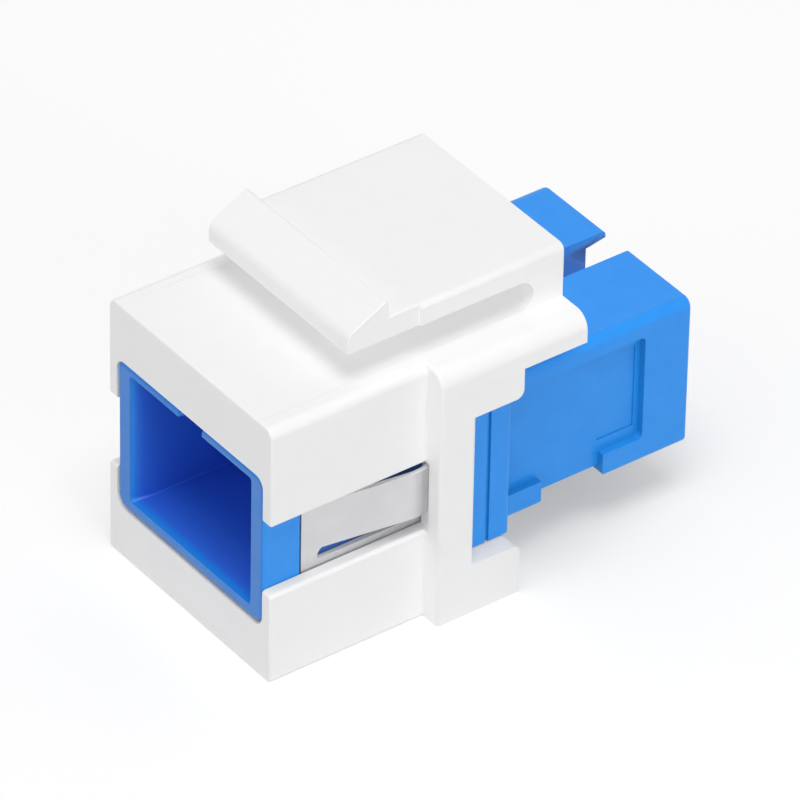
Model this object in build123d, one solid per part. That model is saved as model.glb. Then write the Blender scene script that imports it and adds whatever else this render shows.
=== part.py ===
# Fibre keystone jack: a white moulded keystone frame with a flexing top latch holds
# a blue simplex fibre adapter, which is clipped into it from the rear.
# Millimetres. +X is right seen from the front, +Y runs from the front port to the
# rear port, +Z is up. The origin is under the middle of the whole jack, on the
# plane that it stands on. Depths (y) below are measured from the front face, and
# every piece is moved back by half the length just before it is written.
import os
from math import cos, radians, sin

from build123d import *

# Keystone frame, overall
frame_height = 16.3
front_width = 14.5            # the part that passes through the panel hole
collar_width = 16.95          # the wider part that stays behind the panel
collar_start = 9.95           # depth of the shoulder that stops against the panel
ring_depth = 2.3              # collar ring that the adapter flange seats against
lug_depth = 3.05              # lower and upper lugs behind the ring
roof_depth = 4.05             # thin roof behind the upper lug
roof_thickness = 1.7
sill_height = 3.15            # solid floor under the adapter
side_wall = 0.7               # frame wall each side of the opening
adapter_clearance = 0.05      # frame opening to adapter, each side
adapter_float = 0.15          # frame opening to adapter, below and above
window_bottom = 5.68          # side windows that the clip springs out through
window_height = 4.42
front_top_radius = 0.6
collar_top_radius = 0.95
front_edge_radius = 0.13      # upright edges of the front face
collar_edge_radius = 0.22     # upright edges of the collar, and the frame's long edges
lug_corner_radius = 0.5
tongue_pocket_depth = 0.25    # notch in the collar that each clip tongue springs into
tongue_pocket_gap = 0.33      # tongue tip to the notch's side

# Panel groove under the frame: the fixed edge of the keystone catch
groove_width = 12.3
groove_depth = 1.0

# Flexing latch on top of the frame
arm_width = 12.3
arm_step = 0.12               # the arm is this much wider each side behind the catch
arm_thickness = 1.37
arm_gap = 1.9                 # slot between the arm and the frame
slot_end = 17.45              # deepest point of the slot
catch_front = 5.55            # depth of the arm's free end
catch_nose_height = 1.1
catch_height = 1.1            # ridge above the arm
catch_ridge_radius = 0.18
catch_nose_radius = 0.2       # where the catch's slope meets the arm's end
catch_to_shoulder = 1.82      # room for the panel, from catch to shoulder
arm_step_gap = 2.0            # from the catch back face to the step in width
arm_edge_radius = 0.4

# Adapter body, shared by both housings
adapter_height = 9.35
adapter_recess = 0.05         # front edge behind the frame's front face
adapter_length = 27.85
adapter_top_radius = 0.6
front_rim_radius = 0.22       # outer edge of the front mouth
front_bottom_radius = 0.75
rear_bottom_radius = 0.3
flange_width = 14.7
flange_over = 0.13            # flange above and below the body
flange_corner_radius = 0.1
flange_end_radius = 0.25      # rear plate, upper and lower rear edges
flange_front_plate = 1.63
flange_groove = 0.14
flange_rear_plate = 1.42
flange_groove_depth = 0.5

# Ports
mouth_wall = 1.05             # wall each side of the mouth
mouth_floor = 0.7             # wall under the mouth
mouth_roof = 0.42             # wall above the mouth
lead_in_length = 1.2
lead_in_side = 0.48           # how far the lead-in narrows the port, each side
lead_in_height = 0.22
mouth_corner_radius = 0.2
bore_corner_radius = 0.1
key_slot_width = 2.1
key_slot_length = 9.2
key_rib_thickness = 0.4
key_rib_setback = 1.3         # from the rear mouth
key_rib_length = 1.6
key_rib_drop = 2.05           # from the top of the housing to the rib's lower edge

# Recesses in the housing sides
side_recess_depth = 0.42      # rear housing
clip_recess_depth = 0.36      # front housing, round the clip
front_recess_start = 2.35     # from the front mouth
front_recess_end = 11.6
rear_recess_margin = 3.05     # from the rear mouth
rear_recess_top = 1.2         # under the top of the housing
foot_height = 1.5             # pads left standing at the lower edge
foot_front_length = 2.73
foot_rear_length = 2.6
foot_corner_radius = 0.35
channel_depth = 0.62          # channel across the rear housing's underside
clip_channel_depth = 0.45     # the same for the clip, under the front housing
clip_leaf_gap = 0.3           # recess above the clip's leaves
recess_corner_radius = 0.3
label_width = 2.4             # bare sunk panel on the rear housing's side
label_height = 5.3
label_depth = 0.08
label_setback = 3.4           # panel's rear edge to the rear mouth
label_bottom = 2.25           # above the underside of the housing

# Spring clip
sheet_thickness = 0.28
clip_front_gap = 0.32         # recess to the clip's front edge
clip_length = 7.7
clip_leaf_drop = 1.75         # leaves' upper edges under the housing's top
clip_bend_radius = 0.75
clip_recess_gap = 0.04        # clip to housing, on the flat
tongue_root_length = 0.85     # leaf left whole in front of the tongue
tongue_rise = 1.12            # tongue above the window's lower edge
tongue_height = 2.9
tongue_slot = 0.9             # slot above and below the tongue
tongue_slot_radius = 0.5      # where the tongue's edges run into the leaf
tongue_lip = 0.7              # end of the tongue that is bent back
tongue_lip_angle = 13.0
tongue_end_gap = 0.05         # tongue end to its notch

# Latch inserts that hold the plugs and the sleeve
insert_side_wall = 0.9        # housing left each side of the plate
insert_end_wall = 0.375       # housing left above and below the plate
insert_plate_thickness = 1.0
insert_clearance = 0.05
barrel_outer = 5.0
barrel_length = 6.3           # from the joint between the housings
barrel_lip = 0.5
barrel_lip_bore = 3.0
hook_reach = 6.9              # from the joint between the housings
hook_spacing = 6.6            # between the arms' inner faces
hook_thickness = 0.8
hook_height = 4.2
hook_barb = 0.45
hook_barb_length = 1.1

# Split sleeve
sleeve_outer = 3.2
sleeve_bore = 2.5
sleeve_length = 11.4
sleeve_slit = 0.5
sleeve_clearance = 0.05       # sleeve to barrel, radially

# Worked out from the sizes above
ring_rear = collar_start + ring_depth
lug_rear = ring_rear + lug_depth
roof_rear = lug_rear + roof_depth
opening_width = front_width - 2 * side_wall
opening_bottom = sill_height
adapter_width = opening_width - 2 * adapter_clearance
adapter_bottom = opening_bottom + adapter_float
adapter_top = adapter_bottom + adapter_height
opening_top = adapter_top + adapter_float
roof_bottom = frame_height - roof_thickness
adapter_rear = adapter_recess + adapter_length
adapter_axis = adapter_bottom + adapter_height / 2
flange_front = ring_rear
front_plate_rear = flange_front + flange_front_plate
rear_plate_front = front_plate_rear + flange_groove
flange_rear = rear_plate_front + flange_rear_plate
joint_depth = (front_plate_rear + rear_plate_front) / 2
overall_length = adapter_rear
mouth_width = adapter_width - 2 * mouth_wall
mouth_bottom = adapter_bottom + mouth_floor
mouth_top = adapter_top - mouth_roof
bore_bottom = mouth_bottom + lead_in_height
bore_top = mouth_top - lead_in_height
bore_width = mouth_width - 2 * lead_in_side
recess_half_width = adapter_width / 2 - side_recess_depth
clip_room_half_width = adapter_width / 2 - clip_recess_depth
leaf_outside = clip_room_half_width + clip_recess_gap + sheet_thickness
clip_front = adapter_recess + front_recess_start + clip_front_gap
clip_rear = clip_front + clip_length
clip_leaf_top = adapter_top - clip_leaf_drop
tongue_root = clip_front + tongue_root_length
tongue_bottom = window_bottom + tongue_rise
tongue_knee_x = flange_width / 2        # the tongues spring out level with the flange
tongue_tip_x = tongue_knee_x - tongue_lip * sin(radians(tongue_lip_angle))
tongue_pocket_width = 2 * (tongue_tip_x + tongue_pocket_gap)
insert_plate_width = adapter_width - 2 * insert_side_wall
insert_plate_height = adapter_height - 2 * insert_end_wall


def block(x0, x1, y0, y1, z0, z1):
    """A box between two corners."""
    return Pos((x0 + x1) / 2, (y0 + y1) / 2, (z0 + z1) / 2) * Box(x1 - x0, y1 - y0, z1 - z0)


def centred_block(width, y0, y1, z0, z1):
    """A box that is centred on the middle plane."""
    return block(-width / 2, width / 2, y0, y1, z0, z1)


def side_profile(width, *edges):
    """Extrude a closed outline, drawn in (depth, height), across the width."""
    sketch = make_face(Plane.YZ * (Curve() + list(edges)))
    return extrude(sketch, width / 2, both=True)


def long_edges(shape, y0, y1, z_above=None, z_below=None):
    """Straight edges along the depth that lie within y0..y1 and a height limit."""
    found = shape.edges().filter_by(Axis.Y).filter_by(lambda e: y0 <= e.center().Y <= y1)
    if z_above is not None:
        found = found.filter_by(lambda e: e.center().Z > z_above)
    if z_below is not None:
        found = found.filter_by(lambda e: e.center().Z < z_below)
    return found


def outer_edges(edges, half_width):
    """Those edges that lie on the planes x = +half_width and x = -half_width."""
    return edges.filter_by(lambda e: abs(abs(e.center().X) - half_width) < 1e-3)


def latch():
    """Cantilever arm with its catch, and the root that joins it to the frame."""
    arm_bottom = frame_height + arm_gap
    arm_top = arm_bottom + arm_thickness
    slot_radius = arm_gap / 2
    slot_centre = slot_end - slot_radius
    catch_back = collar_start - catch_to_shoulder
    outline = [
        Polyline((slot_centre, arm_bottom), (catch_front, arm_bottom),
                 (catch_front, arm_bottom + catch_nose_height),
                 (catch_back, arm_top + catch_height),
                 (catch_back, arm_top), (roof_rear, arm_top),
                 (roof_rear, frame_height - roof_thickness / 2),
                 (slot_centre, frame_height - roof_thickness / 2),
                 (slot_centre, frame_height)),
        ThreePointArc((slot_centre, frame_height), (slot_end, frame_height + slot_radius),
                      (slot_centre, arm_bottom)),
    ]
    step = catch_back + arm_step_gap
    wide_arm = side_profile(arm_width + 2 * arm_step, *outline)
    slim_arm = side_profile(arm_width, *outline)
    front_part = centred_block(collar_width, 0, step, arm_bottom - 1, arm_top + 2 * catch_height)
    arm = (wide_arm - front_part) + (slim_arm & front_part)
    arm = fillet(arm.edges().filter_by(Axis.X).sort_by(Axis.Z)[-1], catch_ridge_radius)
    nose = arm.edges().filter_by(Axis.X).filter_by(
        lambda e: abs(e.center().Y - catch_front) < 1e-3 and e.center().Z > arm_bottom + 0.01)
    arm = fillet(nose, catch_nose_radius)
    top_edges = outer_edges(long_edges(arm, step, roof_rear, z_above=arm_top - 0.01),
                            arm_width / 2 + arm_step)
    return fillet(top_edges, arm_edge_radius)


def frame_shell():
    """Front block, collar, lugs and roof as one moulded shell, without the latch."""
    front = centred_block(front_width, 0, collar_start + ring_depth / 2, 0, frame_height)
    front = fillet(long_edges(front, 0, ring_rear, z_above=frame_height / 2), front_top_radius)
    front = fillet(front.faces().sort_by(Axis.Y)[0].edges().filter_by(Axis.Z), front_edge_radius)
    front = fillet(long_edges(front, 0, ring_rear, z_below=1), collar_edge_radius)

    collar = side_profile(collar_width, Polyline(
        (collar_start, 0), (lug_rear, 0), (lug_rear, opening_bottom), (ring_rear, opening_bottom),
        (ring_rear, opening_top), (lug_rear, opening_top), (lug_rear, roof_bottom),
        (roof_rear, roof_bottom), (roof_rear, frame_height), (collar_start, frame_height),
        close=True))
    collar = fillet(long_edges(collar, 0, roof_rear, z_above=frame_height - 0.01),
                    collar_top_radius)
    corners = collar.edges().filter_by(Axis.X).filter_by(
        lambda e: abs(e.center().Y - lug_rear) < 1e-3 and e.center().Z > 1)
    upper_lug_height = roof_bottom - opening_top
    collar = fillet(corners, min(lug_corner_radius, 0.48 * upper_lug_height))
    collar = fillet(outer_edges(collar.edges().filter_by(Axis.Z), collar_width / 2)
                    .filter_by(lambda e: e.center().Y < ring_rear + 0.01), collar_edge_radius)
    return front + collar


def adapter_opening(y0, y1):
    """The hole that the adapter slides into, its corners round those of the adapter."""
    hole = centred_block(opening_width, y0, y1, opening_bottom, opening_top)
    hole = fillet(long_edges(hole, y0, y1, z_above=adapter_axis),
                  adapter_top_radius + adapter_clearance)
    return fillet(long_edges(hole, y0, y1, z_below=adapter_axis),
                  front_bottom_radius + adapter_clearance)


def keystone_frame():
    frame = frame_shell() + latch()
    frame -= adapter_opening(-1, ring_rear + 1)
    window_top = window_bottom + window_height
    frame -= centred_block(collar_width, -1, collar_start, window_bottom, window_top)
    frame -= centred_block(tongue_pocket_width, -1, collar_start + tongue_pocket_depth,
                           window_bottom, window_top)
    window_edges = outer_edges(long_edges(frame, 0, collar_start, window_bottom - 0.01,
                                          window_top + 0.01), front_width / 2)
    frame = fillet(window_edges, collar_edge_radius)
    frame -= centred_block(groove_width, collar_start - catch_to_shoulder, collar_start,
                           -1, groove_depth)
    return frame


def cavity(mouth, inner_end):
    """Port hollow with its tapered lead-in, from a mouth plane to the far end."""
    inward = 1 if inner_end > mouth else -1
    lead_end = mouth + inward * lead_in_length
    mouth_size = Plane.XZ.offset(-mouth) * Pos(0, (mouth_bottom + mouth_top) / 2) \
        * RectangleRounded(mouth_width, mouth_top - mouth_bottom, mouth_corner_radius)
    bore_size = Plane.XZ.offset(-lead_end) * Pos(0, (bore_bottom + bore_top) / 2) \
        * RectangleRounded(bore_width, bore_top - bore_bottom, bore_corner_radius)
    lead_in = loft([mouth_size, bore_size])
    bore = extrude(bore_size, amount=abs(inner_end - lead_end), dir=(0, inward, 0))
    return lead_in + bore


def key_slot(mouth, inward):
    """Slot through the roof of a port, for the plug's key."""
    end = mouth + inward * key_slot_length
    return centred_block(key_slot_width, min(mouth - inward, end), max(mouth - inward, end),
                         adapter_axis, adapter_top + 1)


def body_block(y0, y1, bottom_radius):
    """Plain adapter body between two depths, with its long edges rounded."""
    body = centred_block(adapter_width, y0, y1, adapter_bottom, adapter_top)
    body = fillet(long_edges(body, y0, y1, z_above=adapter_axis), adapter_top_radius)
    return fillet(long_edges(body, y0, y1, z_below=adapter_axis), bottom_radius)


def flange_plate(y0, y1):
    plate = centred_block(flange_width, y0, y1, adapter_bottom - flange_over,
                          adapter_top + flange_over)
    return fillet(plate.edges().filter_by(Axis.Y), flange_corner_radius)


def side_pockets(y0, y1, z0, z1):
    """Shallow recesses in both sides of a housing."""
    pocket = block(recess_half_width, adapter_width, y0, y1, z0, z1)
    pocket = fillet(pocket.edges().filter_by(Axis.X), recess_corner_radius)
    return pocket + mirror(pocket, Plane.YZ)


def underside_channel(y0, y1):
    """Channel right across the underside, with the feet's lower corners rounded."""
    radius = foot_corner_radius
    middle = radius * (1 - cos(radians(45)))
    top = adapter_bottom + channel_depth
    below = adapter_bottom - 1
    return side_profile(
        2 * adapter_width,
        ThreePointArc((y0 - radius, adapter_bottom), (y0 - middle, adapter_bottom + middle),
                      (y0, adapter_bottom + radius)),
        Polyline((y0, adapter_bottom + radius), (y0, top), (y1, top),
                 (y1, adapter_bottom + radius)),
        ThreePointArc((y1, adapter_bottom + radius), (y1 + middle, adapter_bottom + middle),
                      (y1 + radius, adapter_bottom)),
        Polyline((y1 + radius, adapter_bottom), (y1 + radius, below), (y0 - radius, below),
                 (y0 - radius, adapter_bottom)))


def insert_seat(y0, y1):
    """Room for an insert's plate at the joint between the housings."""
    return Pos(0, (y0 + y1) / 2, adapter_axis) * Box(
        insert_plate_width + 2 * insert_clearance, y1 - y0,
        insert_plate_height + 2 * insert_clearance)


def clip_room():
    """U-shaped recess round the sides and underside, which the clip lies in."""
    start = adapter_recess + front_recess_start
    core = centred_block(2 * clip_room_half_width, start - 1, front_recess_end + 1,
                         adapter_bottom + clip_channel_depth, adapter_top + 1)
    core = fillet(long_edges(core, start - 1, front_recess_end + 1, z_below=adapter_axis),
                  clip_bend_radius)
    room = centred_block(2 * adapter_width, start, front_recess_end, 0,
                         clip_leaf_top + clip_leaf_gap)
    return room - core


def front_housing():
    housing = body_block(adapter_recess, front_plate_rear, front_bottom_radius)
    housing = fillet(housing.faces().sort_by(Axis.Y)[0].edges(), front_rim_radius)
    housing += flange_plate(flange_front, front_plate_rear)
    housing += centred_block(flange_width - 2 * flange_groove_depth, flange_front, joint_depth,
                             adapter_bottom, adapter_top)
    housing -= cavity(adapter_recess, joint_depth + 1)
    housing -= key_slot(adapter_recess, 1)
    housing -= clip_room()
    housing -= insert_seat(joint_depth - insert_plate_thickness - insert_clearance,
                           joint_depth + 1)
    return housing


def rear_housing():
    housing = body_block(rear_plate_front, adapter_rear, rear_bottom_radius)
    plate = flange_plate(rear_plate_front, flange_rear)
    plate_ends = plate.edges().filter_by(Axis.X).sort_by(Axis.Y)[-2:]
    housing += fillet(plate_ends, flange_end_radius)
    housing += centred_block(flange_width - 2 * flange_groove_depth, joint_depth, flange_rear,
                             adapter_bottom, adapter_top)
    housing -= cavity(adapter_rear, joint_depth - 1)
    housing -= insert_seat(joint_depth - 1,
                           joint_depth + insert_plate_thickness + insert_clearance)

    recess_end = adapter_rear - rear_recess_margin
    foot_top = adapter_bottom + foot_height
    channel_start = flange_rear + foot_front_length
    channel_end = recess_end - foot_rear_length
    housing -= side_pockets(flange_rear, recess_end, foot_top, adapter_top - rear_recess_top)
    notch = block(recess_half_width, adapter_width, channel_start, channel_end,
                  adapter_bottom - 1, foot_top + side_recess_depth)
    housing -= notch + mirror(notch, Plane.YZ)
    housing -= underside_channel(channel_start, channel_end)

    label = block(recess_half_width - label_depth, adapter_width,
                  adapter_rear - label_setback - label_width, adapter_rear - label_setback,
                  adapter_bottom + label_bottom, adapter_bottom + label_bottom + label_height)
    housing -= label
    housing -= mirror(label, Plane.YZ)

    rib = block(key_slot_width / 2, key_slot_width / 2 + key_rib_thickness,
                adapter_rear - key_rib_setback - key_rib_length,
                adapter_rear - key_rib_setback, adapter_top - key_rib_drop, mouth_top)
    housing += rib + mirror(rib, Plane.YZ)
    return housing - key_slot(adapter_rear, -1)


def clip_band():
    """U-shaped band: a bridge in the underside channel and a leaf up each side."""
    outer_z = adapter_bottom + clip_channel_depth - clip_recess_gap - sheet_thickness
    outside = centred_block(2 * leaf_outside, clip_front, clip_rear, outer_z, clip_leaf_top)
    outside = fillet(long_edges(outside, clip_front, clip_rear, z_below=adapter_axis),
                     clip_bend_radius + sheet_thickness)
    inside = centred_block(2 * (leaf_outside - sheet_thickness), clip_front - 1,
                           clip_rear + 1, outer_z + sheet_thickness, clip_leaf_top + 1)
    inside = fillet(long_edges(inside, clip_front - 1, clip_rear + 1, z_below=adapter_axis),
                    clip_bend_radius)
    return outside - inside


def tongue():
    """One tongue, bent out of the right leaf, with its end bent back."""
    tip = collar_start + tongue_pocket_depth - tongue_end_gap
    lip_y = tongue_lip * cos(radians(tongue_lip_angle))
    knee = tip - lip_y
    leaf_inside = leaf_outside - sheet_thickness
    outline = Polyline((leaf_outside, clip_front), (leaf_outside, tongue_root),
                       (tongue_knee_x, knee), (tongue_tip_x, tip),
                       (tongue_tip_x - sheet_thickness, tip),
                       (tongue_knee_x - sheet_thickness, knee),
                       (leaf_inside, tongue_root), (leaf_inside, clip_front), close=True)
    face = make_face(outline)
    return Pos(0, 0, tongue_bottom) * extrude(face, tongue_height)


def tongue_slots():
    """Room cut round the right tongue; its root corners are rounded against tearing."""
    tongue_top = tongue_bottom + tongue_height
    room = block(0, adapter_width, tongue_root, clip_rear + 1, tongue_bottom, tongue_top)
    lower = block(0, adapter_width, tongue_root, clip_rear + 1,
                  tongue_bottom - tongue_slot, tongue_bottom)
    upper = block(0, adapter_width, tongue_root, clip_rear + 1,
                  tongue_top, tongue_top + tongue_slot)
    room += fillet(lower.edges().filter_by(Axis.X).sort_by(Axis.Y)[:2].sort_by(Axis.Z)[-1],
                   tongue_slot_radius)
    room += fillet(upper.edges().filter_by(Axis.X).sort_by(Axis.Y)[:2].sort_by(Axis.Z)[0],
                   tongue_slot_radius)
    return room


def spring_clip():
    slots = tongue_slots()
    clip = clip_band() - slots - mirror(slots, Plane.YZ)
    bent = tongue()
    return clip + bent + mirror(bent, Plane.YZ)


def latch_insert(inward):
    """Plate, sleeve barrel and two plug hooks. inward is -1 for the front insert."""
    plate = Pos(0, inward * insert_plate_thickness / 2, 0) * Box(
        insert_plate_width, insert_plate_thickness, insert_plate_height)
    to_axis = Rotation(-90 * inward, 0, 0)
    barrel = to_axis * extrude(Circle(barrel_outer / 2), barrel_length)
    sleeve_room = sleeve_outer / 2 + sleeve_clearance
    bore_length = barrel_length - barrel_lip
    hollow = to_axis * (extrude(Circle(sleeve_room), bore_length)
                        + extrude(Circle(barrel_lip_bore / 2), barrel_length + 1))
    hook = extrude(make_face(Polyline(
        (hook_spacing / 2, 0), (hook_spacing / 2, hook_reach - 2 * hook_barb_length),
        (hook_spacing / 2 - hook_barb, hook_reach - hook_barb_length),
        (hook_spacing / 2, hook_reach), (hook_spacing / 2 + hook_thickness, hook_reach),
        (hook_spacing / 2 + hook_thickness, 0), close=True)), hook_height / 2, both=True)
    if inward < 0:
        hook = mirror(hook, Plane.XZ)
    insert = plate + barrel + hook + mirror(hook, Plane.YZ) - hollow
    return Pos(0, joint_depth, adapter_axis) * insert


def split_sleeve():
    sleeve = extrude(Circle(sleeve_outer / 2) - Circle(sleeve_bore / 2), sleeve_length / 2,
                     both=True)
    slit = Pos(0, sleeve_outer / 2, 0) * Box(sleeve_slit, sleeve_outer, sleeve_length + 2)
    return Pos(0, joint_depth, adapter_axis) * (Rotation(90, 0, 0) * (sleeve - slit))


pieces = {
    "keystone_frame": keystone_frame(),
    "front_housing": front_housing(),
    "rear_housing": rear_housing(),
    "spring_clip": spring_clip(),
    "front_latch_insert": latch_insert(-1),
    "rear_latch_insert": latch_insert(1),
    "split_sleeve": split_sleeve(),
}

os.makedirs("parts", exist_ok=True)
for name, shape in pieces.items():
    placed = Pos(0, -overall_length / 2, 0) * shape
    export_step(placed, f"parts/{name}.step")
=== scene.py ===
from math import copysign, cos, radians, sin

import bmesh
import bpy
from mathutils import Matrix, Vector


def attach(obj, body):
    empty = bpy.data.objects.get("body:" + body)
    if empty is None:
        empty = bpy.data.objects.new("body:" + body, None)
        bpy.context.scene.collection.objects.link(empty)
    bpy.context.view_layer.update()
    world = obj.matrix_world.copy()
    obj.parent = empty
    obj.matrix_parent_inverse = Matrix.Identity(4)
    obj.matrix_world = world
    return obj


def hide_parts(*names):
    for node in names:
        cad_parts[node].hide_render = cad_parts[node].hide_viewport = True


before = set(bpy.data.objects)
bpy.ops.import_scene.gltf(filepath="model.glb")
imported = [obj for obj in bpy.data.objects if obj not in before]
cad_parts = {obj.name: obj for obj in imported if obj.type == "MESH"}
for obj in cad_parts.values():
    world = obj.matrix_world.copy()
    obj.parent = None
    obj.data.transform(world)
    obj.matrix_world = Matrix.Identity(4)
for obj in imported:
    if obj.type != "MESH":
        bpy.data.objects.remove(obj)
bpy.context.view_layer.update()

# Keystone frame. One white moulding: front block, collar, lugs, roof, and the latch arm
# that flexes over the top. Its edges are slightly broken where the tool halves meet, its
# skin is finely spark-eroded, and the cores leave a fine line along each side of the top.
MM = 0.001
NEAR = 0.01                    # mm, for places that are meant to be equal
MERGED = 0.001 * MM            # points this near are one
SLIVER = 0.002 * MM
FLAT = radians(0.5)            # least angle between faces, for an edge to stay
BENT = radians(5)              # for an edge to be softened
SHARP = radians(40)            # for an edge to be broken
CORNER = radians(35)           # least turn that ends a chain of edges
ROOM_ACROSS = 3                # of the faces beside an edge, in its own widths
ROOM_ALONG = 2
SOFT_STEPS = 3
EDGE_STEPS = 2

FRAME_EDGE = 0.08 * MM
CATCH_EDGE = 0.07 * MM
NOSE_ROUND = 0.35 * MM
NOSE_STEPS = 4
ARM_HALF = 6.15                # limits of the catch, mm
CATCH_BACK = -5.83
ARM_LOW = 18.21
NOSE_Y = -8.4
NOSE_Z = 19.3
NOSE_NEAR = 0.13
LUG_REAR = 1.35                # the corner behind the lug, mm
ROOF_BOTTOM = 14.6
LUG_ROUND = 0.5

WHITE = (0.925, 0.925, 0.928)
WHITE_DEEP = (0.91, 0.91, 0.914)
# paler broken edges of the frame: rubbing and a painted highlight
WHITE_EDGE = (0.95, 0.95, 0.953)
# painted glow of the white faces, seen only by bounced light
GLOW = 0.125
GRAIN_SHARE = 0.35             # height of the grain beside that of the flow waves
FLOW_SCALE = 260.0             # features per metre, as the next three
PATCH_SCALE = 620.0
RUB_SCALE = 900.0
WHITE_GRAIN = 9000.0
PATCH_GLOSS = (-0.04, 0.05)    # roughness of the patches, beside that of the plastic
RUB_SWING = 0.8                # how much the rubbing and painted highlight come and go, and their least share
RUB_LEAST = 0.35
SKIN_DEPTH = 0.02 * MM
SKIN_STRENGTH = 0.25
LINE_HALF = 0.06 * MM          # half the width of a tool line
LINE_RISE = 5.0                # beside the height of the skin
FRAME_LINE = (6.15, 16.2, 16.4)  # from the middle, lowest and highest place, mm


def runs_on(edge, chain):
    """True where both ends of a short edge go on into the chain without a corner."""
    along = (edge.verts[1].co - edge.verts[0].co).normalized()
    for vert in edge.verts:
        turns = [abs((other.other_vert(vert).co - vert.co).normalized().dot(along))
                 for other in vert.link_edges if other != edge and other in chain]
        if not turns or max(turns) < cos(CORNER):
            return False
    return True


def broken_edges(node, name, width, fitted=None, softer=(), sheared=None):
    """A copy of a CAD solid with its sharp edges rounded off, shown in that node's place.
    fitted(place) moves a few points. softer holds (test of an edge's middle, width, steps)
    for edges that are rounded first. sheared(face) picks faces that look like edges too."""
    shape = bmesh.new()
    shape.from_mesh(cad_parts[node].data)
    layer = shape.faces.layers.float.new("broken_edge")
    bmesh.ops.remove_doubles(shape, verts=shape.verts, dist=MERGED)
    bmesh.ops.dissolve_limit(shape, angle_limit=FLAT, verts=shape.verts, edges=shape.edges)
    if fitted:
        for vert in shape.verts:
            vert.co = fitted(vert.co / MM) * MM
        bmesh.ops.remove_doubles(shape, verts=shape.verts, dist=MERGED)
        bmesh.ops.dissolve_degenerate(shape, dist=SLIVER, edges=shape.edges)
    for test, soft_width, soft_steps in softer:
        picked = [edge for edge in shape.edges if edge.calc_face_angle() > BENT
                  and test((edge.verts[0].co + edge.verts[1].co) / 2 / MM)]
        bmesh.ops.bevel(shape, geom=picked, offset=soft_width, offset_type="OFFSET",
                        segments=soft_steps, profile=0.5, affect="EDGES",
                        clamp_overlap=False, material=-1)
        bmesh.ops.dissolve_degenerate(shape, dist=SLIVER, edges=shape.edges)
    if sheared:
        for face in shape.faces:
            face[layer] = float(sheared(face))
    sharp = {edge for edge in shape.edges if edge.calc_face_angle() > SHARP}
    roomy = []
    for edge in sharp:
        across = min(face.calc_area() / edge.calc_length() for face in edge.link_faces)
        long = edge.calc_length() > ROOM_ALONG * width
        if across > ROOM_ACROSS * width and (long or runs_on(edge, sharp)):
            roomy.append(edge)
        else:
            edge.smooth = False
    rounded = bmesh.ops.bevel(shape, geom=roomy, offset=width, offset_type="OFFSET",
                              segments=EDGE_STEPS, profile=0.5, affect="EDGES",
                              clamp_overlap=True, material=-1)
    for face in shape.faces:
        face.smooth = True
    for face in rounded["faces"]:
        face[layer] = 1.0
    mesh = bpy.data.meshes.new(name)
    shape.to_mesh(mesh)
    shape.free()
    piece = bpy.data.objects.new(name, mesh)
    bpy.context.scene.collection.objects.link(piece)
    normals = piece.modifiers.new("normals", "WEIGHTED_NORMAL")
    normals.keep_sharp = True
    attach(piece, "root")
    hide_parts(node)
    return piece


def new_group(name, inputs, outputs):
    """A node group with number inputs and the given outputs, and its two end nodes."""
    group = bpy.data.node_groups.new(name, "ShaderNodeTree")
    for label in inputs:
        group.interface.new_socket(label, in_out="INPUT", socket_type="NodeSocketFloat")
    for label in outputs:
        group.interface.new_socket(label, in_out="OUTPUT", socket_type="NodeSocketFloat")
    start = group.nodes.new("NodeGroupInput")
    end = group.nodes.new("NodeGroupOutput")
    return group, start.outputs, end.inputs


def place(tree, kind, **settings):
    """A new shader node with its settings."""
    made = tree.nodes.new("ShaderNode" + kind)
    for label, value in settings.items():
        setattr(made, label, value)
    return made


def sums(tree, operation, first, second, clamp=False):
    """A Math node on two sockets or numbers."""
    made = place(tree, "Math", operation=operation, use_clamp=clamp)
    for socket, value in zip(made.inputs, (first, second)):
        if isinstance(value, (int, float)):
            socket.default_value = value
        else:
            tree.links.new(value, socket)
    return made.outputs[0]


def noise(tree, vector, scale, detail=2.0, rough=0.5):
    """A noise pattern; scale is a number or a socket, in features per metre."""
    made = place(tree, "TexNoise")
    tree.links.new(vector, made.inputs["Vector"])
    made.inputs["Detail"].default_value = detail
    made.inputs["Roughness"].default_value = rough
    if isinstance(scale, float):
        made.inputs["Scale"].default_value = scale
    else:
        tree.links.new(scale, made.inputs["Scale"])
    return made.outputs["Fac"]


def ranged(tree, value, low, high, start=0.3, end=0.7, smooth="LINEAR"):
    """A value stretched from start..end to low..high."""
    made = place(tree, "MapRange", interpolation_type=smooth)
    tree.links.new(value, made.inputs["Value"])
    made.inputs["From Min"].default_value = start
    made.inputs["From Max"].default_value = end
    made.inputs["To Min"].default_value = low
    made.inputs["To Max"].default_value = high
    return made.outputs["Result"]


def blend(tree, factor, first, second):
    """A colour between two; each is a socket or a colour."""
    made = place(tree, "Mix", data_type="RGBA")
    tree.links.new(factor, made.inputs["Factor"])
    ends = [socket for socket in made.inputs if socket.type == "RGBA"]
    for socket, value in zip(ends, (first, second)):
        if isinstance(value, tuple):
            socket.default_value = (*value, 1.0)
        else:
            tree.links.new(value, socket)
    return [socket for socket in made.outputs if socket.type == "RGBA"][0]


def object_place(tree):
    """The place on the piece, in metres."""
    return place(tree, "TexCoord").outputs["Object"]


def axes(tree):
    """The place on the piece along Y and Z, and its distance from the middle plane."""
    split = place(tree, "SeparateXYZ")
    tree.links.new(object_place(tree), split.inputs["Vector"])
    return split.outputs["Y"], split.outputs["Z"], sums(tree, "ABSOLUTE", split.outputs["X"], 0.0)


def within(tree, value, low, high):
    """1 between two limits, numbers or sockets, and 0 elsewhere."""
    return sums(tree, "MULTIPLY", sums(tree, "GREATER_THAN", value, low),
                sums(tree, "LESS_THAN", value, high))


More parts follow.
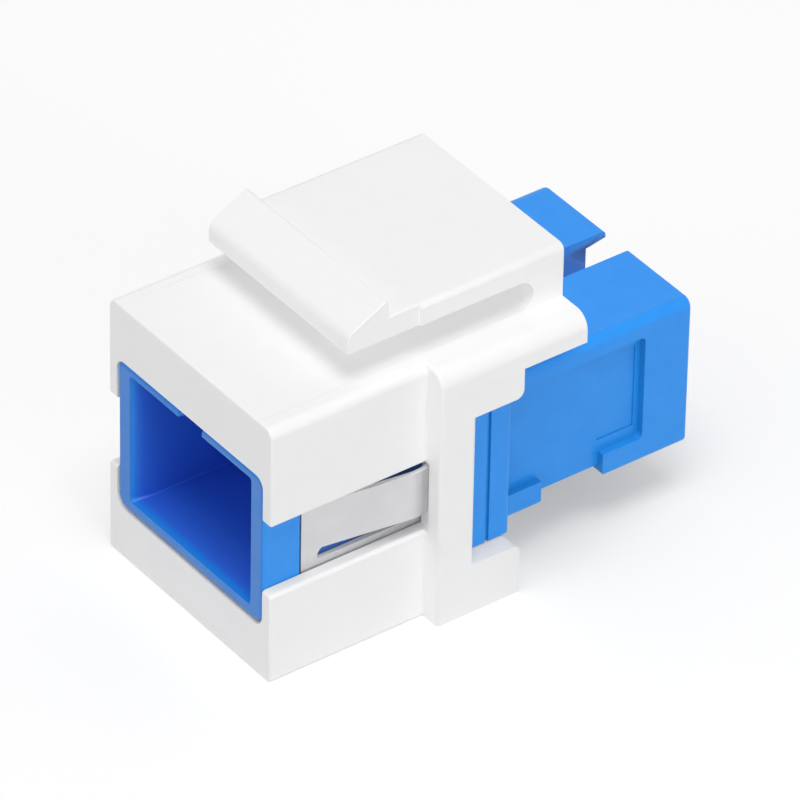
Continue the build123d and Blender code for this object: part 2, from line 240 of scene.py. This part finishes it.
def moulded_skin():
    """Fine eroded grain, slow flow waves and soft patches, as on injection mouldings."""
    group, inputs, outputs = new_group("moulded_skin", ("Grain",), ("Height", "Patch"))
    where = object_place(group)
    grain = noise(group, where, inputs["Grain"], detail=3.0, rough=0.6)
    flow = noise(group, where, FLOW_SCALE, detail=1.0)
    patch = noise(group, where, PATCH_SCALE, detail=3.0, rough=0.6)
    group.links.new(sums(group, "ADD", sums(group, "MULTIPLY", grain, GRAIN_SHARE), flow),
                    outputs["Height"])
    group.links.new(patch, outputs["Patch"])
    return group


def edge_rub():
    """Where the broken edges are rubbed and painted a little brighter as a highlight, patchily
    along their length.
    """
    group, inputs, outputs = new_group("edge_rub", ("Amount",), ("Mask",))
    edge = place(group, "Attribute", attribute_name="broken_edge").outputs["Fac"]
    along = noise(group, object_place(group), RUB_SCALE)
    patchy = sums(group, "ADD", sums(group, "MULTIPLY", along, RUB_SWING), RUB_LEAST,
                  clamp=True)
    mask = sums(group, "MULTIPLY", sums(group, "MULTIPLY", edge, patchy), inputs["Amount"],
                clamp=True)
    group.links.new(mask, outputs["Mask"])
    return group


def tool_line():
    """A fine raised line left by the tool, at one distance from the middle plane, kept to
    a range of heights. Two of them show, one on each side."""
    group, inputs, outputs = new_group("tool_line", ("Line X", "Low Z", "High Z"), ("Height",))
    _, z, width = axes(group)
    off = sums(group, "ABSOLUTE", sums(group, "SUBTRACT", width, inputs["Line X"]), 0.0)
    line = ranged(group, off, 0.0, 1.0, LINE_HALF, 0.0, smooth="SMOOTHSTEP")
    group.links.new(sums(group, "MULTIPLY", line,
                         within(group, z, inputs["Low Z"], inputs["High Z"])),
                    outputs["Height"])
    return group


skin = moulded_skin()
rub = edge_rub()
line = tool_line()


def moulded_plastic(name, colour, deep, edge_colour, rough, grain, rub_amount, line_at=None):
    """Moulded plastic: base colour with soft patches, rubbed edges with a painted highlight, an
    eroded skin and a tool line. line_at is its distance from the middle, and its lowest and
    highest place."""
    material = bpy.data.materials.new(name)
    material.use_nodes = True
    tree = material.node_tree
    shader = tree.nodes["Principled BSDF"]
    surface = place(tree, "Group", node_tree=skin)
    surface.inputs["Grain"].default_value = grain
    edges = place(tree, "Group", node_tree=rub)
    edges.inputs["Amount"].default_value = rub_amount
    body = blend(tree, ranged(tree, surface.outputs["Patch"], 0.0, 1.0), colour, deep)
    tree.links.new(blend(tree, edges.outputs["Mask"], body, edge_colour),
                   shader.inputs["Base Color"])
    tree.links.new(ranged(tree, surface.outputs["Patch"], rough + PATCH_GLOSS[0],
                          rough + PATCH_GLOSS[1]), shader.inputs["Roughness"])
    height = surface.outputs["Height"]
    if line_at:
        raised = place(tree, "Group", node_tree=line)
        for label, value in zip(("Line X", "Low Z", "High Z"), line_at):
            raised.inputs[label].default_value = value * MM
        height = sums(tree, "ADD", height,
                      sums(tree, "MULTIPLY", raised.outputs["Height"], LINE_RISE))
    bump = place(tree, "Bump")
    bump.inputs["Strength"].default_value = SKIN_STRENGTH
    bump.inputs["Distance"].default_value = SKIN_DEPTH
    tree.links.new(height, bump.inputs["Height"])
    tree.links.new(bump.outputs["Normal"], shader.inputs["Normal"])
    return material


white_plastic = moulded_plastic("white_plastic", WHITE, WHITE_DEEP, WHITE_EDGE, rough=0.42,
                                grain=WHITE_GRAIN, rub_amount=0.5, line_at=FRAME_LINE)

# Painted glow: each white face glows a little in the light that it bounces on the faces near it,
# which lifts the shade under the arm and in the slots
tree = white_plastic.node_tree
shader = tree.nodes["Principled BSDF"]
shader.inputs["Emission Color"].default_value = (1.0, 1.0, 1.0, 1.0)
tree.links.new(sums(tree, "MULTIPLY", place(tree, "LightPath").outputs["Is Diffuse Ray"], GLOW),
               shader.inputs["Emission Strength"])


def catch_outline(middle):
    """The catch's outline on both sides of the arm, from its lower corner to the ridge."""
    return abs(abs(middle.x) - ARM_HALF) < NEAR and middle.y < CATCH_BACK and middle.z > ARM_LOW


def nose(middle):
    """The edge where the catch's slope meets the arm's end face."""
    return abs(middle.y - NOSE_Y) < NOSE_NEAR and abs(middle.z - NOSE_Z) < NOSE_NEAR


def moulded_corners(point):
    """The rounded corner under the roof turns sharp, and the nose is made ready to round."""
    behind = -NEAR < point.y - LUG_REAR < LUG_ROUND - NEAR / 10
    if behind and -NEAR < ROOF_BOTTOM - point.z < LUG_ROUND - NEAR / 10:
        return Vector((point.x, LUG_REAR, ROOF_BOTTOM))
    if nose(point):
        return Vector((point.x, NOSE_Y, NOSE_Z))
    return point


keystone = broken_edges("keystone_frame", "frame_moulding", FRAME_EDGE,
                        fitted=moulded_corners,
                        softer=((nose, NOSE_ROUND, NOSE_STEPS),
                                (catch_outline, CATCH_EDGE, SOFT_STEPS)))
keystone.data.materials.append(white_plastic)

# Adapter housings. Two blue mouldings, welded at the flange, which slide into the frame
# from the rear. They are glossier than the frame, and their ribs and rims are thin, so
# the edges show a paler line where the plastic is stressed, painted on as a highlight too.
BLUE = (0.006, 0.30, 0.92)
BLUE_DEEP = (0.005, 0.28, 0.89)
# paler edges: stress whitening and a painted highlight
BLUE_EDGE = (0.04, 0.41, 0.93)
BLUE_INSIDE = (0.035, 0.165, 0.79)  # painted shade in the front port
BLUE_BEHIND = (0.03, 0.13, 0.48)    # painted shade behind the clip
BLUE_BOUNCE = (0.33, 0.36, 0.40)    # painted grey, for the light that the outer faces bounce on others
BOUNCE_SHARE = 0.88
BLUE_GRAIN = 12000.0
MOUTH_Y = -13.95               # the front port, mm
PORT_HALF = 5.7
PORT_FLOOR = 3.9
PORT_ROOF = 12.3
DEEP_FROM = 0.1                # where the port's painted shade starts and is full, from the mouth
DEEP_TO = 0.7
RIM_Y = -13.85                 # just behind the face of the front rim
RIM_SHARE = 0.5                # of the painted shade behind the clip, on the rim's face
HOUSING_LINE = (5.9, 12.5, 12.7)
OUTER_X = 5.5                  # inner limits of the outer faces, mm
OUTER_LOW = 4.0
TOP_FACES = 11.5
RECESS_FLOOR = (5.9, 6.25)     # behind the clip, mm from the middle
RECESS_REACH = (-11.4, -2.4)   # and along the jack

HOUSING_EDGE = 0.1 * MM
END_ROUND = 0.22 * MM
REAR_SIDE = 6.14               # limits of the outer edge of the rear rim, mm
REAR_BOTTOM = 3.31
REAR_TOP = 12.59
REAR_END = 13.94
GROOVE_EDGE = 0.07             # of the groove as moulded, mm from the joint
GROOVE_BOTTOM = 6.85           # and from the middle
GROOVE_HALF = 0.12             # of the groove as shown
GROOVE_SEEN = 7.2

blue_plastic = moulded_plastic("blue_plastic", BLUE, BLUE_DEEP, BLUE_EDGE, rough=0.36,
                               grain=BLUE_GRAIN, rub_amount=0.6, line_at=HOUSING_LINE)


def blue_places():
    """Port: 1 inside the front port, where its shade is painted. Shade: 1 behind the clip and
    part of 1 on the front rim, where shade is painted. Outer: 1 on the outer faces, but not on
    the top ones."""
    group, inputs, outputs = new_group("blue_places", (), ("Port", "Shade", "Outer"))
    y, z, width = axes(group)
    mouth = sums(group, "MULTIPLY", sums(group, "LESS_THAN", width, PORT_HALF * MM),
                 within(group, z, PORT_FLOOR * MM, PORT_ROOF * MM))
    depth = ranged(group, sums(group, "SUBTRACT", y, MOUTH_Y * MM), 0.0, 1.0,
                   DEEP_FROM * MM, DEEP_TO * MM)
    front_half = sums(group, "LESS_THAN", y, 0.0)
    group.links.new(sums(group, "MULTIPLY", mouth, sums(group, "MULTIPLY", front_half, depth)),
                    outputs["Port"])
    sunk = within(group, width, RECESS_FLOOR[0] * MM, RECESS_FLOOR[1] * MM)
    reach = within(group, y, RECESS_REACH[0] * MM, RECESS_REACH[1] * MM)
    rim = sums(group, "MULTIPLY", sums(group, "LESS_THAN", y, RIM_Y * MM), RIM_SHARE)
    group.links.new(sums(group, "MAXIMUM", sums(group, "MULTIPLY", sunk, reach), rim),
                    outputs["Shade"])
    aside = sums(group, "MAXIMUM", sums(group, "GREATER_THAN", width, OUTER_X * MM),
                 sums(group, "LESS_THAN", z, OUTER_LOW * MM))
    group.links.new(sums(group, "MULTIPLY", aside,
                         sums(group, "LESS_THAN", z, TOP_FACES * MM)), outputs["Outer"])
    return group


def deepen(material):
    """Painted shade: deeper colours in the port, behind the clip and on the front rim. The
    outer faces turn grey for the light that they bounce, a painted bounce plainer than they look."""
    tree = material.node_tree
    colour = tree.nodes["Principled BSDF"].inputs["Base Color"]
    where = place(tree, "Group", node_tree=blue_places()).outputs
    behind = blend(tree, where["Shade"], colour.links[0].from_socket, BLUE_BEHIND)
    inside = blend(tree, where["Port"], behind, BLUE_INSIDE)
    # painted bounce: the outer faces turn grey for bounced light
    thrown = sums(tree, "MULTIPLY", place(tree, "LightPath").outputs["Is Diffuse Ray"],
                  where["Outer"])
    tree.links.new(blend(tree, sums(tree, "MULTIPLY", thrown, BOUNCE_SHARE), inside,
                         BLUE_BOUNCE), colour)


deepen(blue_plastic)


def shallow_groove(point):
    """The groove round the flange turns wider and shallower, so that its bottom shows."""
    if abs(point.y) > GROOVE_EDGE + NEAR or abs(point.x) < GROOVE_BOTTOM - NEAR:
        return point
    across = GROOVE_SEEN if abs(point.x) < GROOVE_BOTTOM + NEAR else abs(point.x)
    along = GROOVE_HALF if abs(point.y) > GROOVE_EDGE - NEAR else abs(point.y)
    return Vector((copysign(across, point.x), copysign(along, point.y), point.z))


def rear_rim(middle):
    """The outer edge of the rear rim."""
    outer = abs(middle.x) > REAR_SIDE or middle.z < REAR_BOTTOM or middle.z > REAR_TOP
    return middle.y > REAR_END and outer


for node, name, softer in (("front_housing", "front_half", ()),
                           ("rear_housing", "rear_half",
                            ((rear_rim, END_ROUND, SOFT_STEPS),))):
    half = broken_edges(node, name, HOUSING_EDGE, fitted=shallow_groove,
                        softer=softer)
    half.data.materials.append(blue_plastic)

# Spring clip. One strip of stainless sheet, folded round the front housing, with a
# tongue cut free in each side and bent out. It is rolled and bright, with sheared edges
# that are painted paler and less metallic as a highlight.
CLIP_EDGE = 0.06 * MM
KNEE_ROUND = 0.5 * MM
KNEE_STEPS = 4
KNEE_Y = -4.48                 # where a tongue's end is bent back, mm
KNEE_NEAR = 0.1
KNEE_INSIDE = 6.9
KNEE_LOW = 7.0
KNEE_HIGH = 9.5
SLOT_LOW = 5.9                 # the slot's lower edge as cut
SLOT_FITTED = 6.1              # and as the photograph has it
CLIP_FRONT = -11.2             # what lies before this is the front end
CLIP_FITTED = -11.42           # its place in the photograph
EDGEWISE = 0.3                 # largest X part of a sheared face's normal

STEEL = (0.68, 0.68, 0.69)
STEEL_DARK = 0.93              # tone of the darker patches beside the rest
# painted highlight on the sheared faces and broken edges
SHEARED = (0.95, 0.95, 0.96)
STEEL_ROUGH = 0.3
STEEL_UNEVEN = 0.03            # in roughness, to each side
STEEL_RUB = 0.9
CLOUD_SCALE = 500.0            # features per metre
METAL_SHARE = 0.65             # the rest scatters light, as a pickled skin does

spring_steel = bpy.data.materials.new("spring_steel")
spring_steel.use_nodes = True
tree = spring_steel.node_tree
shader = tree.nodes["Principled BSDF"]
cloud = noise(tree, object_place(tree), CLOUD_SCALE)
edges = place(tree, "Group", node_tree=rub)
edges.inputs["Amount"].default_value = STEEL_RUB
tone = blend(tree, ranged(tree, cloud, 0.0, 1.0), STEEL,
             tuple(STEEL_DARK * part for part in STEEL))
tree.links.new(blend(tree, edges.outputs["Mask"], tone, SHEARED), shader.inputs["Base Color"])
tree.links.new(ranged(tree, edges.outputs["Mask"], METAL_SHARE, 0.0, start=0.0, end=0.5),
               shader.inputs["Metallic"])
tree.links.new(ranged(tree, cloud, STEEL_ROUGH - STEEL_UNEVEN, STEEL_ROUGH + STEEL_UNEVEN),
               shader.inputs["Roughness"])


def clip_edges(point):
    """The slot's lower edge goes up a little, and the front end comes nearer its recess."""
    if abs(point.z - SLOT_LOW) < NEAR:
        return Vector((point.x, point.y, SLOT_FITTED))
    if point.y < CLIP_FRONT:
        return Vector((point.x, CLIP_FITTED, point.z))
    return point


def knee(middle):
    """Where a tongue's end is bent back."""
    return (abs(middle.y - KNEE_Y) < KNEE_NEAR and abs(middle.x) > KNEE_INSIDE
            and KNEE_LOW < middle.z < KNEE_HIGH)


def sheet_edge(face):
    """The sheared edges of the strip, painted brighter than its rolled sides as a highlight."""
    return abs(face.normal.x) < EDGEWISE and face.calc_center_median().z > SLOT_LOW * MM


clip = broken_edges("spring_clip", "folded_clip", CLIP_EDGE,
                    fitted=clip_edges, softer=((knee, KNEE_ROUND, KNEE_STEPS),),
                    sheared=sheet_edge)
clip.data.materials.append(spring_steel)

# Latch inserts. Blue mouldings inside the housings: a plate, half of the sleeve barrel
# and two hooks that hold a plug. Both are the same piece, one turned round.
INSERT_EDGE = 0.05 * MM
INSERT_BLUE = (0.018, 0.19, 0.74)
INSERT_DEEP = (0.015, 0.175, 0.70)
INSERT_LINE = (2.0, 3.0, 13.0)

insert_plastic = moulded_plastic("insert_plastic", INSERT_BLUE, INSERT_DEEP, BLUE_EDGE, rough=0.4,
                                 grain=BLUE_GRAIN, rub_amount=0.4, line_at=INSERT_LINE)
for node, name in (("front_latch_insert", "front_hooks"), ("rear_latch_insert", "rear_hooks")):
    hooks = broken_edges(node, name, INSERT_EDGE)
    hooks.data.materials.append(insert_plastic)

# Split sleeve. A slit tube of white zirconia that lines up the two ferrules. It is
# ground and polished, and lies loose in the barrel of the inserts.
SLEEVE_EDGE = 0.04 * MM
CERAMIC = (0.84, 0.83, 0.79)
CERAMIC_DEEP = (0.82, 0.81, 0.77)
# paler edges: rubbing and a painted highlight
CERAMIC_EDGE = (0.88, 0.87, 0.84)
GROUND_GRAIN = 20000.0

white_ceramic = moulded_plastic("white_ceramic", CERAMIC, CERAMIC_DEEP, CERAMIC_EDGE, rough=0.22,
                                grain=GROUND_GRAIN, rub_amount=0.3)
sleeve = broken_edges("split_sleeve", "ferrule_sleeve", SLEEVE_EDGE)
sleeve.data.materials.append(white_ceramic)

# Floor. A plain pale sweep, wide enough for any view. It glows a little to the camera
# and in reflections, so that it reads near white there and still takes the shadow.
FLOOR_HALF = 1.0
FLOOR_ALBEDO = 0.76
FLOOR_SEEN = 0.28


def seen_rays(tree):
    """1 for what the camera sees straight, in gloss or through glass, and 0 for lighting."""
    rays = place(tree, "LightPath")
    gloss = sums(tree, "MAXIMUM", rays.outputs["Is Glossy Ray"],
                 rays.outputs["Is Transmission Ray"])
    return sums(tree, "MAXIMUM", rays.outputs["Is Camera Ray"], gloss)


floor_mesh = bpy.data.meshes.new("floor")
shape = bmesh.new()
bmesh.ops.create_grid(shape, x_segments=1, y_segments=1, size=FLOOR_HALF)
shape.to_mesh(floor_mesh)
shape.free()
floor = bpy.data.objects.new("floor", floor_mesh)
bpy.context.scene.collection.objects.link(floor)
floor_paint = bpy.data.materials.new("floor_paint")
floor_paint.use_nodes = True
tree = floor_paint.node_tree
shader = tree.nodes["Principled BSDF"]
shader.inputs["Roughness"].default_value = 0.9
shader.inputs["Specular IOR Level"].default_value = 0.0
shader.inputs["Base Color"].default_value = (FLOOR_ALBEDO, FLOOR_ALBEDO, FLOOR_ALBEDO, 1.0)
shader.inputs["Emission Color"].default_value = (1.0, 1.0, 1.0, 1.0)
tree.links.new(sums(tree, "MULTIPLY", seen_rays(tree), FLOOR_SEEN),
               shader.inputs["Emission Strength"])
floor.data.materials.append(floor_paint)

# Light. A white surround, a large soft lamp overhead, and two that stand low at the
# right and in front, so that the sides and the slot under the latch are well filled.
SURROUND = 0.5                 # for lighting; what is seen of it is white
MIDDLE = Vector((0, 0, 8)) * MM


def soft_lamp(name, place_mm, size_mm, watts):
    """A round lamp that faces the middle of the jack."""
    data = bpy.data.lights.new(name, "AREA")
    data.shape = "DISK"
    data.size = size_mm * MM
    data.energy = watts
    lamp = bpy.data.objects.new(name, data)
    bpy.context.scene.collection.objects.link(lamp)
    spot = Vector(place_mm) * MM
    turn = (MIDDLE - spot).to_track_quat("-Z", "Y")
    lamp.matrix_world = Matrix.Translation(spot) @ turn.to_matrix().to_4x4()


world = bpy.data.worlds.new("studio")
bpy.context.scene.world = world
world.use_nodes = True
tree = world.node_tree
background = tree.nodes["Background"]
background.inputs["Color"].default_value = (1.0, 1.0, 1.0, 1.0)
tree.links.new(sums(tree, "ADD", sums(tree, "MULTIPLY", seen_rays(tree), 1.0 - SURROUND),
                    SURROUND), background.inputs["Strength"])
soft_lamp("overhead", place_mm=(120, -90, 600), size_mm=360, watts=1.58)
soft_lamp("right_side", place_mm=(600, 20, 150), size_mm=400, watts=0.78)
soft_lamp("front_side", place_mm=(40, -600, 100), size_mm=400, watts=0.44)

# Camera. The photograph's angle, found by fitting points of the jack to it: a long lens
# from the front, right and above, turned slightly about its own axis.
AZIMUTH = radians(52.977)
ELEVATION = radians(36.617)
ROLL = radians(1.142)
DISTANCE = 480.25 * MM
LENS = 411.38                  # mm, as the next
SENSOR = 36
NEAREST = 10 * MM              # what the camera still sees
AIM = Vector((0, -3.95, 8)) * MM
AIM_RIGHT = 2.918 * MM
AIM_UP = 1.368 * MM

back = Vector((sin(AZIMUTH) * cos(ELEVATION), -cos(AZIMUTH) * cos(ELEVATION), sin(ELEVATION)))
level = Vector((cos(AZIMUTH), sin(AZIMUTH), 0))
upward = back.cross(level)
right = cos(ROLL) * level + sin(ROLL) * upward
up = cos(ROLL) * upward - sin(ROLL) * level
camera_data = bpy.data.cameras.new("camera")
camera_data.lens = LENS
camera_data.sensor_width = SENSOR
camera_data.clip_start = NEAREST
camera = bpy.data.objects.new("camera", camera_data)
bpy.context.scene.collection.objects.link(camera)
eye = AIM + AIM_RIGHT * right + AIM_UP * up + DISTANCE * back
camera.matrix_world = Matrix.Translation(eye) @ Matrix((right, up, back)).transposed().to_4x4()
bpy.context.scene.camera = camera
bpy.context.scene.view_settings.view_transform = "Standard"
